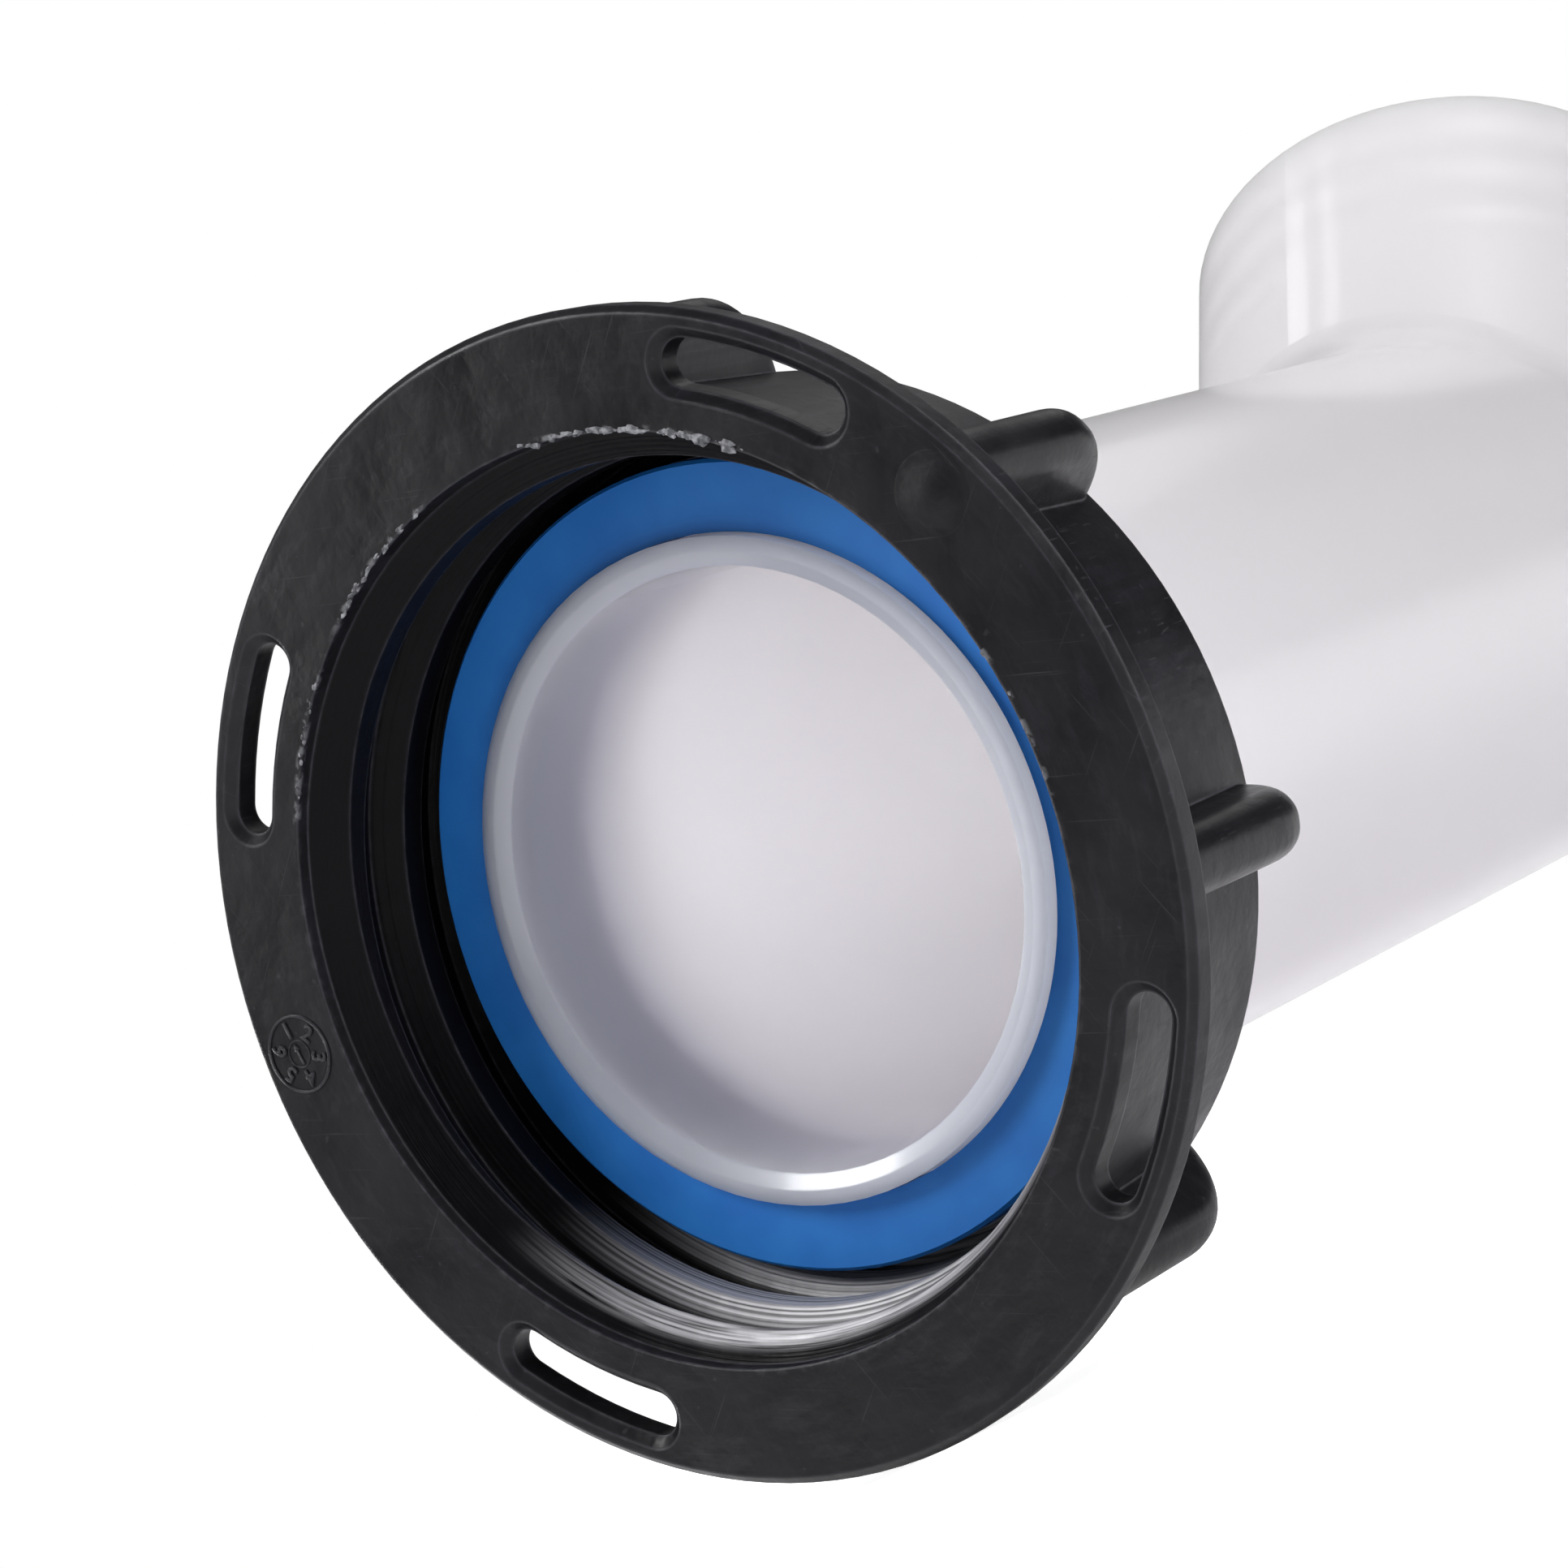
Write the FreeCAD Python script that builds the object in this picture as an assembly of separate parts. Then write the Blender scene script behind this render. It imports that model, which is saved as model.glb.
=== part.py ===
"""Spout adapter for the outlet tap of an intermediate bulk container.

A black moulded union nut with an inner S60x6 coarse thread, a flat blue gasket and a one-piece
white polyethylene spout: spigot, collar, straight tube and a 45 degree bend.

Row frame, millimetres: the origin is the centre of the nut's mouth, +Y runs along the tube into
the adapter, and the spout bends towards +Z.
"""
import FreeCAD
import Part

import math
import os

from FreeCAD import Vector

# Coarse sawtooth thread of the nut, 60 mm across its root with a 6 mm pitch. The bore is straight
# over the lead-in and narrows a little behind it, so that the mould's core comes out.
THREAD_MAJOR_R = 30.0
THREAD_PITCH = 6.0
THREAD_DEPTH = 2.0
THREAD_CREST_W = 1.9
THREAD_LEAD_FLANK_DEG = 40.0
THREAD_LOAD_FLANK_DEG = 10.0
THREAD_LEAD_IN = 1.0
THREAD_LEAD_IN_DEG = 45.0
THREAD_END_GAP = 1.5
THREAD_START_DEG = 18.0
THREAD_ROOT_BITE = 0.6
BORE_DRAFT = 0.5

# Nut flange and the four oblong slots through it
FLANGE_W = 7.7
FLANGE_T = 2.4
FLANGE_EDGE = 0.5
SLOT_COUNT = 4
SLOT_FIRST_DEG = 45.0
SLOT_INSET = 3.35
SLOT_W = 3.0
SLOT_SPAN_DEG = 17.6
SLOT_BEVEL = 0.7
SLOT_BEVEL_SHARE = 0.9

# Nut barrel, its back lip and the grip lugs between the slots
BARREL_WALL = 2.2
BARREL_DRAFT = 0.8
LIP_T = 3.5
LIP_CLEARANCE = 0.5
LIP_EDGE = 0.8
LUG_PER_SLOT = 2
LUG_T = 4.3
LUG_INSET = 0.7
LUG_CORNER_R = 6.5
LUG_EDGE_R = 2.0
LUG_END_GAP = 0.2

# Gasket between the spout's collar and the tap
GASKET_INSET = 0.1
GASKET_T = 3.0
GASKET_BORE_CLEARANCE = 0.1
GASKET_EDGE = 0.25
GASKET_DEPTH = 10.8

# White spout, whose collar goes into the nut past the crest of its thread
SPIGOT_WALL = 2.0
SPIGOT_STAND_OUT = 1.04
SPIGOT_CHAMFER_R = 1.0
SPIGOT_CHAMFER_Y = 0.6
COLLAR_CLEARANCE = 1.0
COLLAR_W = 3.7
COLLAR_T = 2.9
COLLAR_PLAY = 0.3
TUBE_WALL = 3.2
TUBE_REACH = 109.1
BEND_DEG = 45.0
BEND_INSIDE_R = 10.0
LEG_REACH = 39.6
LEG_EDGE = 0.4

# Tolerance for picking edges by place
NEAR = 0.001

ORIGIN = Vector(0, 0, 0)
X_AXIS = Vector(1, 0, 0)
Y_AXIS = Vector(0, 1, 0)

# Radii about the tube axis
thread_crest_r = THREAD_MAJOR_R - THREAD_DEPTH
collar_r = thread_crest_r - COLLAR_CLEARANCE
gasket_r = collar_r - GASKET_INSET
tube_r = collar_r - COLLAR_W
bore_r = tube_r - TUBE_WALL
spigot_r = bore_r + SPIGOT_WALL
flange_r = THREAD_MAJOR_R + FLANGE_W
slot_pitch_r = flange_r - SLOT_INSET
lug_r = flange_r - LUG_INSET
lip_bore_r = tube_r + LIP_CLEARANCE
bore_back_r = THREAD_MAJOR_R - BORE_DRAFT
barrel_front_r = THREAD_MAJOR_R + BARREL_WALL
barrel_back_r = barrel_front_r - BARREL_DRAFT

# Stations along the tube, counted from the nut's mouth
collar_front = GASKET_DEPTH + GASKET_T
collar_back = collar_front + COLLAR_T
lip_front = collar_back + COLLAR_PLAY
nut_back = lip_front + LIP_T
spigot_front = GASKET_DEPTH - SPIGOT_STAND_OUT
thread_end = lip_front - THREAD_END_GAP
bend_y = spigot_front + TUBE_REACH
bend_centre = Vector(0, bend_y, 0)
leg_axis = Vector(0, math.cos(math.radians(BEND_DEG)), math.sin(math.radians(BEND_DEG)))
lug_step_deg = 360.0 / (SLOT_COUNT * LUG_PER_SLOT)


def disc(radius, y0, y1):
    """Solid cylinder on the tube axis between two stations."""
    return Part.makeCylinder(radius, y1 - y0, Vector(0, y0, 0), Y_AXIS)


def turned(outline):
    """Solid of revolution about the tube axis, from (radius, station) corners."""
    points = [Vector(r, y, 0) for r, y in outline]
    face = Part.Face(Part.makePolygon(points + points[:1]))
    return face.revolve(ORIGIN, Y_AXIS, 360)


def turn_to(shape, degrees):
    """Copy turned about the tube axis, counted from +X towards +Z as seen from the mouth."""
    copy = shape.copy()
    copy.rotate(ORIGIN, Y_AXIS, -degrees)
    return copy


def circle_edges(shape, radius, station):
    """Edges that are full circles of one radius, centred on the tube axis at one station."""
    found = []
    for edge in shape.Edges:
        if edge.Degenerated:
            continue
        curve = edge.Curve
        if not isinstance(curve, Part.Circle):
            continue
        if abs(curve.Radius - radius) > NEAR or abs(curve.Center.y - station) > NEAR:
            continue
        if abs(curve.Center.x) < NEAR and abs(curve.Center.z) < NEAR:
            found.append(edge)
    return found


def nut_shell():
    """Flange, barrel and back lip in one turned shell, with the bore at the thread's root."""
    shell = turned([
        (THREAD_MAJOR_R, THREAD_LEAD_IN),
        (THREAD_MAJOR_R, 0),
        (flange_r, 0),
        (flange_r, FLANGE_T),
        (barrel_front_r, FLANGE_T),
        (barrel_back_r, nut_back),
        (lip_bore_r, nut_back),
        (lip_bore_r, lip_front),
        (bore_back_r, lip_front),
    ])
    rim = circle_edges(shell, flange_r, 0) + circle_edges(shell, flange_r, FLANGE_T)
    shell = shell.makeChamfer(FLANGE_EDGE, rim)
    return shell.makeChamfer(LIP_EDGE, circle_edges(shell, barrel_back_r, nut_back))


def bore_core():
    """Space inside the nut's bore, from the mouth to the back lip."""
    return turned([
        (0, 0),
        (THREAD_MAJOR_R, 0),
        (THREAD_MAJOR_R, THREAD_LEAD_IN),
        (bore_back_r, lip_front),
        (0, lip_front),
    ])


def thread_window():
    """Space that the thread may fill: behind a conical lead-in, and ending before the back lip."""
    inner_r = thread_crest_r - THREAD_DEPTH
    outer_r = THREAD_MAJOR_R + THREAD_DEPTH
    cone_y = (THREAD_MAJOR_R - inner_r) / math.tan(math.radians(THREAD_LEAD_IN_DEG))
    return turned([
        (THREAD_MAJOR_R, THREAD_LEAD_IN),
        (outer_r, THREAD_LEAD_IN),
        (outer_r, thread_end),
        (inner_r, thread_end),
        (inner_r, THREAD_LEAD_IN + cone_y),
    ])


def thread_ridge():
    """Right-hand helical sawtooth ridge from the lead-in to its end before the back lip."""
    lead_w = THREAD_DEPTH * math.tan(math.radians(THREAD_LEAD_FLANK_DEG))
    load_w = THREAD_DEPTH * math.tan(math.radians(THREAD_LOAD_FLANK_DEG))
    bite_share = THREAD_ROOT_BITE / THREAD_DEPTH
    bite_r = THREAD_MAJOR_R + THREAD_ROOT_BITE
    first_z = THREAD_LEAD_IN - THREAD_CREST_W - load_w
    corners = [
        Vector(thread_crest_r, 0, first_z),
        Vector(thread_crest_r, 0, first_z + THREAD_CREST_W),
        Vector(bite_r, 0, first_z + THREAD_CREST_W + load_w * (1 + bite_share)),
        Vector(bite_r, 0, first_z - lead_w * (1 + bite_share)),
    ]
    profile = Part.makePolygon(corners + corners[:1])
    climb = thread_end + lead_w - first_z
    path = Part.makeHelix(THREAD_PITCH, climb, thread_crest_r)
    ridge = Part.Wire(path.Edges).makePipeShell([profile], True, True)
    ridge.rotate(ORIGIN, X_AXIS, -90)
    return turn_to(ridge, THREAD_START_DEG).common(thread_window())


def slot_solid(width, span_deg, y0, y1):
    """Curved oblong bar that cuts one slot, centred on +X."""
    half = math.radians(span_deg / 2)
    mid = slot_pitch_r
    outer = mid + width / 2
    inner = mid - width / 2

    def at(radius, angle):
        return Vector(radius * math.cos(angle), y0, radius * math.sin(angle))

    def beyond(sign):
        """Far point of the round end."""
        along = Vector(-math.sin(sign * half), 0, math.cos(sign * half)) * (sign * width / 2)
        return at(mid, sign * half) + along

    edges = [
        Part.Arc(at(outer, -half), at(outer, 0), at(outer, half)).toShape(),
        Part.Arc(at(outer, half), beyond(1), at(inner, half)).toShape(),
        Part.Arc(at(inner, half), at(inner, 0), at(inner, -half)).toShape(),
        Part.Arc(at(inner, -half), beyond(-1), at(outer, -half)).toShape(),
    ]
    return Part.Face(Part.Wire(edges)).extrude(Vector(0, y1 - y0, 0))


def slot_cutter():
    """One slot through the flange, with a bevelled rim on the front face."""
    through = slot_solid(SLOT_W, SLOT_SPAN_DEG, -FLANGE_T, 2 * FLANGE_T)
    rim_w = SLOT_W + 2 * SLOT_BEVEL
    rim = slot_solid(rim_w, SLOT_SPAN_DEG, -SLOT_BEVEL, SLOT_BEVEL)
    floor_edges = [e for e in rim.Edges if abs(e.BoundBox.YMin - SLOT_BEVEL) < NEAR]
    return through.fuse(rim.makeChamfer(SLOT_BEVEL * SLOT_BEVEL_SHARE, floor_edges))


def lug():
    """Grip lug on +X: a plate behind the flange with a round back corner and round edges."""
    inner_r = barrel_back_r - BARREL_WALL / 2
    foot_y = FLANGE_T / 2
    end_y = nut_back - LUG_END_GAP
    start = Vector(inner_r, foot_y, -LUG_T / 2)
    corner_mid = LUG_CORNER_R * (1 - math.cos(math.radians(45)))
    a = Vector(lug_r, foot_y, start.z)
    b = Vector(lug_r, end_y - LUG_CORNER_R, start.z)
    c = Vector(lug_r - corner_mid, end_y - corner_mid, start.z)
    d = Vector(lug_r - LUG_CORNER_R, end_y, start.z)
    e = Vector(inner_r, end_y, start.z)
    edges = [
        Part.makeLine(start, a),
        Part.makeLine(a, b),
        Part.Arc(b, c, d).toShape(),
        Part.makeLine(d, e),
        Part.makeLine(e, start),
    ]
    plate = Part.Face(Part.Wire(edges)).extrude(Vector(0, 0, LUG_T))
    outer_edges = []
    for edge in plate.Edges:
        box = edge.BoundBox
        if box.ZMax - box.ZMin > NEAR:
            continue
        on_outline = box.XMin > lug_r - NEAR or box.YMin > end_y - NEAR
        if on_outline or isinstance(edge.Curve, Part.Circle):
            outer_edges.append(edge)
    return plate.makeFillet(LUG_EDGE_R, outer_edges)


def union_nut():
    """Union nut: shell, thread, grip lugs and slots."""
    nut = nut_shell()
    grip = lug()
    first_lug_deg = SLOT_FIRST_DEG - lug_step_deg / 2
    lug_degrees = [first_lug_deg + i * lug_step_deg for i in range(SLOT_COUNT * LUG_PER_SLOT)]
    nut = nut.fuse([turn_to(grip, degrees) for degrees in lug_degrees])
    nut = nut.cut(bore_core())
    cutter = slot_cutter()
    slot_degrees = [SLOT_FIRST_DEG + i * 360.0 / SLOT_COUNT for i in range(SLOT_COUNT)]
    nut = nut.cut([turn_to(cutter, degrees) for degrees in slot_degrees])
    nut = nut.fuse(thread_ridge())
    return nut.removeSplitter()


def flat_gasket():
    """Flat sealing ring that sits round the spigot, against the collar."""
    ring = disc(gasket_r, GASKET_DEPTH, collar_front)
    ring = ring.cut(disc(spigot_r + GASKET_BORE_CLEARANCE, GASKET_DEPTH, collar_front))
    outer = circle_edges(ring, gasket_r, GASKET_DEPTH) + circle_edges(ring, gasket_r, collar_front)
    return ring.makeChamfer(GASKET_EDGE, outer)


def bent_rod(radius, front, inside_r):
    """Solid of one radius along the tube, round the bend and out to the leg's end."""
    straight = disc(radius, front, bend_y)
    leg = Part.makeCylinder(radius, LEG_REACH, bend_centre, leg_axis)
    outer_corner = Part.makeSphere(radius, bend_centre, X_AXIS, -90, 90, 360)
    rod = straight.fuse([leg, outer_corner]).removeSplitter()
    crease = [e for e in rod.Edges if not e.Degenerated and isinstance(e.Curve, Part.Ellipse)]
    return rod.makeFillet(inside_r, crease)


def spout():
    """White spout: spigot, collar, tube and bent leg with one bore through."""
    front = turned([
        (0, spigot_front),
        (spigot_r, spigot_front),
        (spigot_r, collar_front),
        (collar_r, collar_front),
        (collar_r, collar_back),
        (0, collar_back),
    ])
    body = front.fuse(bent_rod(tube_r, collar_front, BEND_INSIDE_R)).removeSplitter()
    chamfer = turned([
        (0, spigot_front),
        (bore_r + SPIGOT_CHAMFER_R, spigot_front),
        (bore_r, spigot_front + SPIGOT_CHAMFER_Y),
        (0, spigot_front + SPIGOT_CHAMFER_Y),
    ])
    bore = bent_rod(bore_r, spigot_front, BEND_INSIDE_R + tube_r - bore_r)
    body = body.cut(bore).cut(chamfer)
    leg_end = bend_centre + leg_axis * LEG_REACH
    rim = []
    for edge in body.Edges:
        if edge.Degenerated or not isinstance(edge.Curve, Part.Circle):
            continue
        if (edge.Curve.Center - leg_end).Length < NEAR:
            rim.append(edge)
    return body.makeChamfer(LEG_EDGE, rim).removeSplitter()


def main():
    os.makedirs("parts", exist_ok=True)
    nodes = {
        "union_nut": union_nut(),
        "flat_gasket": flat_gasket(),
        "spout": spout(),
    }
    for name, shape in nodes.items():
        solids = shape.Solids
        print(name, "solids", len(solids), "valid", shape.isValid(), "volume", round(shape.Volume, 1))
        print("   faces", len(shape.Faces), "box", shape.BoundBox)
        whole = solids[0] if len(solids) == 1 else shape
        whole.exportStep("parts/" + name + ".step")


main()
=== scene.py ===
"""Looks of the spout adapter for the outlet tap of an intermediate bulk container.

The solids come packed from the model: a black union nut with a coarse inner thread, a flat blue
gasket and a white spout. This file gives them their finishes, adds the small moulded and torn
details of the nut, and sets the floor, the light and the camera.

Row frame, metres: the origin is the centre of the nut's mouth, +Y runs along the tube into the
adapter, and the spout bends towards +Z.
"""

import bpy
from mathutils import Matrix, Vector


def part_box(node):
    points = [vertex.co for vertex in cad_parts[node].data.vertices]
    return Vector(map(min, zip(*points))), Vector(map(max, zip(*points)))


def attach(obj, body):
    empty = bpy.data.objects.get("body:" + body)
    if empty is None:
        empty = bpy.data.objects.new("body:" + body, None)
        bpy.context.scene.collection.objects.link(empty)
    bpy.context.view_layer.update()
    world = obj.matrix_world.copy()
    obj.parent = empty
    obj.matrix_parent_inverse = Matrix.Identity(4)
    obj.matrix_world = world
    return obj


bl_info = {
    "name": "Bulk container tap adapter",
    "version": (1, 0, 0),
    "blender": (4, 5, 0),
    "location": "3D View > Sidebar > Tap adapter",
    "description": "Finishes, moulded details and studio stage of a spout adapter",
    "category": "Object",
}

import math
import random

import bmesh
import bpy
from bpy.props import FloatProperty, FloatVectorProperty, IntProperty, PointerProperty
from mathutils import Matrix, Vector

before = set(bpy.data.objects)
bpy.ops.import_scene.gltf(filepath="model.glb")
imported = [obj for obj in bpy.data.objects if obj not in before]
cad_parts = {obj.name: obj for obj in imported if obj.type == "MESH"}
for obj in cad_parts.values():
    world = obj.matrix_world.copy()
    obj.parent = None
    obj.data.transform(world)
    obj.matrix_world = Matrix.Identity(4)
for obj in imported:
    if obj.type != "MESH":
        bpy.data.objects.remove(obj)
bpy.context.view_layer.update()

MM = 0.001
NUT_LOW, NUT_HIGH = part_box("union_nut")

# Row frame places, in millimetres, that the solids fix
MOUTH_RADIUS_MM = 30.0
THREAD_PITCH_MM = 6.0
THREAD_FIRST_MM = 1.0
FLANGE_MIDDLE_MM = 34.0
BEND_CENTRE_MM = (0.0, 118.86, 0.0)
LEG_AXIS = (0.0, math.sqrt(0.5), math.sqrt(0.5))

# Sizes of what shows in the finishes, in millimetres
SOFT_EDGE_MM = 0.3
FLOW_MARK_MM = 8.0
MOULD_GRAIN_MM = 0.4
SMUDGE_LONG_MM = 6.0
SMUDGE_WIDE_MM = 1.6
SCUFF_LONG_MM = 9.0
SCUFF_DEEP_MM = 3.0
SPECK_MM = 0.8
TURNED_LINE_MM = 0.22
CHIP_MM = 1.1
TEAR_MM = 0.5
BLOOM_MM = 5.0
RUBBER_GRAIN_MM = 0.3
HAZE_MM = 18.0
LEG_RING_STEP_MM = 5.9

# Each direction of scuffs: turn about the tube axis in radians, and width in millimetres
SCUFF_DIRECTIONS = ((0.4, 0.14), (1.3, 0.18), (2.5, 0.16))

POLYETHYLENE_IOR = 1.54
RUBBER_IOR = 1.52

# Stretches of the mouth's edge where it is torn, in degrees about the tube axis, each with its
# share of the crumbs and the size of its crumbs
TORN_STRETCHES = ((42, 78), (92, 118), (120, 146), (-14, 10))
TORN_SHARES = (0.6, 0.19, 0.15, 0.06)
TORN_SIZES = (1.0, 0.6, 0.5, 0.4)

# How deep a raised mark is let into the flange, out of reach of its finish's soft edges, and how
# far outwards and down a lump's edge runs on before it turns to that foot
MARK_FOOT = 0.5 * MM
LUMP_SKIRT = 0.35 * MM
LUMP_DIP = 0.03 * MM

# The dial's pointer, in halves of its length: half widths of shaft and head, and where they meet
SHAFT = 0.09
HEAD = 0.32
NECK = 0.35

# Radius of the ring round the pointer, in lengths of the pointer
INNER_RING = 0.62


def linear(hex_colour):
    """Opaque linear RGBA of an sRGB colour written as six hex digits."""
    channels = [int(hex_colour[i:i + 2], 16) / 255 for i in (0, 2, 4)]
    rgb = tuple(c / 12.92 if c <= 0.04045 else ((c + 0.055) / 1.055) ** 2.4 for c in channels)
    return rgb + (1.0,)


def colour_setting(name, description, hex_colour):
    """Colour property whose default is written in sRGB."""
    return FloatVectorProperty(name=name, description=description, default=linear(hex_colour), size=4,
                               min=0.0, max=1.0, subtype="COLOR")


def add_node(tree, kind, settings=None, inputs=None):
    """New node with its settings, and its inputs set to values or linked from other sockets."""
    node = tree.nodes.new(kind)
    for name, value in (settings or {}).items():
        setattr(node, name, value)
    for name, value in (inputs or {}).items():
        if isinstance(value, bpy.types.NodeSocket):
            tree.links.new(value, node.inputs[name])
        else:
            node.inputs[name].default_value = value
    return node


def new_material(name):
    """Empty node material and its tree."""
    material = bpy.data.materials.new(name)
    material.use_nodes = True
    material.node_tree.nodes.clear()
    return material, material.node_tree


def place_in_mm(tree, solid=None):
    """Coordinates in millimetres of the piece that is shaded, or of one solid for all pieces."""
    place = add_node(tree, "ShaderNodeTexCoord", {"object": solid}).outputs["Object"]
    return add_node(tree, "ShaderNodeVectorMath", {"operation": "SCALE"}, {
        0: place, "Scale": 1 / MM}).outputs[0]


def light_path(tree):
    """Kinds of ray, and a factor that is 1 where the camera sees the surface, also through glass."""
    path = add_node(tree, "ShaderNodeLightPath")
    seen = add_node(tree, "ShaderNodeMath", {"operation": "MAXIMUM"}, {
        0: path.outputs["Is Camera Ray"], 1: path.outputs["Is Transmission Ray"]}).outputs[0]
    return path, seen


def dress(node_name, material):
    """Give a solid of the frame one finish."""
    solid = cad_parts[node_name]
    solid.data.materials.clear()
    solid.data.materials.append(material)


def on_flange(radius_mm, angle):
    """Point in metres on the flange's front face, at a radius and angle about the tube axis."""
    return Vector((radius_mm * math.cos(angle), 0.0, radius_mm * math.sin(angle))) * MM


def mesh_object(context, name, shape, material):
    """Object of a finished bmesh, with one material."""
    mesh = bpy.data.meshes.new(name)
    shape.to_mesh(mesh)
    shape.free()
    mesh.materials.append(material)
    made = bpy.data.objects.new(name, mesh)
    context.scene.collection.objects.link(made)
    return made


def round_band(shape, profile, closed=False, steps=48):
    """Band of faces turned about the local Z axis through (radius, height) points, and its loops."""
    loops = []
    for radius, height in profile:
        angles = [math.tau * i / steps for i in range(steps)]
        points = [(radius * math.cos(a), radius * math.sin(a), height) for a in angles]
        loops.append([shape.verts.new(point) for point in points])
    following = loops[1:] + loops[:1] if closed else loops[1:]
    for inner, outer in zip(loops, following):
        for i in range(steps):
            k = (i + 1) % steps
            shape.faces.new((inner[i], outer[i], outer[k], inner[k]))
    return loops


def raised_ring(shape, radius, line, height):
    """Flat raised ring on a face."""
    inner = radius - line / 2
    outer = radius + line / 2
    section = ((inner, -MARK_FOOT), (inner, height), (outer, height), (outer, -MARK_FOOT))
    round_band(shape, section, closed=True)


def raised_pointer(shape, length, height):
    """Raised arrow on a face, along local Y."""
    half = length / 2
    outline = ((-SHAFT, -1.0), (SHAFT, -1.0), (SHAFT, NECK), (HEAD, NECK), (0.0, 1.0),
               (-HEAD, NECK), (-SHAFT, NECK))
    top = [shape.verts.new((x * half, y * half, height)) for x, y in outline]
    foot = [shape.verts.new((x * half, y * half, -MARK_FOOT)) for x, y in outline]
    shape.faces.new(top)
    shape.faces.new(foot[::-1])
    for i in range(len(outline)):
        k = (i + 1) % len(outline)
        shape.faces.new((foot[i], foot[k], top[k], top[i]))


def low_lump(shape, radius, height, rings=10):
    """Soft mound on a face that runs out level at its edge."""
    shares = [(i + 0.02) / rings for i in range(rings + 1)]
    profile = [(radius * t, height * math.cos(math.pi * min(t, 1.0) / 2) ** 2) for t in shares]
    skirt = radius + LUMP_SKIRT
    loops = round_band(shape, profile + [(skirt, -LUMP_DIP), (skirt, -MARK_FOOT)])
    shape.faces.new(loops[0])
    shape.faces.new(loops[-1][::-1])
    for face in shape.faces:
        face.smooth = all(vert.co.z > -MARK_FOOT for vert in face.verts)


def moulded_black_polyethylene(settings):
    """Black HDPE, injection moulded: satin, with flow marks, fine scuffs, and edges that tear pale.

    The mould leaves a soft, slightly uneven sheen. The core that forms the thread is turned, so the
    thread is duller and shows fine lines along its run. Where the mouth was trimmed the plastic is
    torn and pale.
    """
    material, tree = new_material("Moulded black polyethylene")
    mm = place_in_mm(tree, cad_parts["union_nut"])
    x, y, z = add_node(tree, "ShaderNodeSeparateXYZ", None, {0: mm}).outputs
    xx = add_node(tree, "ShaderNodeMath", {"operation": "MULTIPLY"}, {0: x, 1: x}).outputs[0]
    rr = add_node(tree, "ShaderNodeMath", {"operation": "MULTIPLY_ADD"}, {0: z, 1: z, 2: xx}).outputs[0]
    radius = add_node(tree, "ShaderNodeMath", {"operation": "SQRT"}, {0: rr}).outputs[0]
    angle = add_node(tree, "ShaderNodeMath", {"operation": "ARCTAN2"}, {0: z, 1: x}).outputs[0]

    # Flow marks of the melt, and the mould's own fine grain
    flow = add_node(tree, "ShaderNodeTexNoise", None, {
        "Vector": mm, "Scale": 1 / FLOW_MARK_MM, "Detail": 5.0}).outputs[0]
    grain = add_node(tree, "ShaderNodeTexNoise", None, {
        "Vector": mm, "Scale": 1 / MOULD_GRAIN_MM, "Detail": 4.0}).outputs[0]

    # Smudges that run round the flange
    round_way = add_node(tree, "ShaderNodeMath", {"operation": "MULTIPLY"}, {
        0: angle, 1: FLANGE_MIDDLE_MM / SMUDGE_LONG_MM}).outputs[0]
    out_way = add_node(tree, "ShaderNodeMath", {"operation": "MULTIPLY"}, {
        0: radius, 1: 1 / SMUDGE_WIDE_MM}).outputs[0]
    polar = add_node(tree, "ShaderNodeCombineXYZ", None, {0: round_way, 1: out_way}).outputs[0]
    smear = add_node(tree, "ShaderNodeTexNoise", {"noise_dimensions": "2D"}, {
        "Vector": polar, "Scale": 1.0, "Detail": 5.0, "Roughness": 0.65}).outputs[0]
    smear_mask = add_node(tree, "ShaderNodeMapRange", {"interpolation_type": "SMOOTHSTEP"}, {
        "Value": smear, "From Min": 0.48, "From Max": 0.72, "To Max": settings.smudges}).outputs[0]
    outside = add_node(tree, "ShaderNodeMapRange", {"interpolation_type": "SMOOTHSTEP"}, {
        "Value": radius, "From Min": MOUTH_RADIUS_MM - 0.1,
        "From Max": MOUTH_RADIUS_MM + 0.05}).outputs[0]
    smudges = add_node(tree, "ShaderNodeMath", {"operation": "MULTIPLY"}, {
        0: smear_mask, 1: outside}).outputs[0]

    # Scuffs: long narrow streaks in three directions
    scuff_masks = []
    for turn, width in SCUFF_DIRECTIONS:
        along = add_node(tree, "ShaderNodeMapping", {"vector_type": "TEXTURE"}, {
            "Vector": mm, "Rotation": (0.0, turn, 0.0),
            "Scale": (SCUFF_LONG_MM, SCUFF_DEEP_MM, width)}).outputs[0]
        lines = add_node(tree, "ShaderNodeTexNoise", None, {
            "Vector": along, "Scale": 1.0, "Detail": 2.0}).outputs[0]
        scuff_masks.append(add_node(tree, "ShaderNodeMapRange", {"interpolation_type": "SMOOTHSTEP"}, {
            "Value": lines, "From Min": 0.66, "From Max": 0.74}).outputs[0])
    scuffs = 0.0
    for mask in scuff_masks:
        scuffs = add_node(tree, "ShaderNodeMath", {"operation": "MAXIMUM"}, {
            0: scuffs, 1: mask}).outputs[0]

    # Small pale specks, where a fine noise peaks
    speck_noise = add_node(tree, "ShaderNodeTexNoise", None, {
        "Vector": mm, "Scale": 1 / SPECK_MM, "Detail": 1.0}).outputs[0]
    specks = add_node(tree, "ShaderNodeMapRange", {"interpolation_type": "SMOOTHSTEP"}, {
        "Value": speck_noise, "From Min": 0.73, "From Max": 0.78}).outputs[0]

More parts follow.
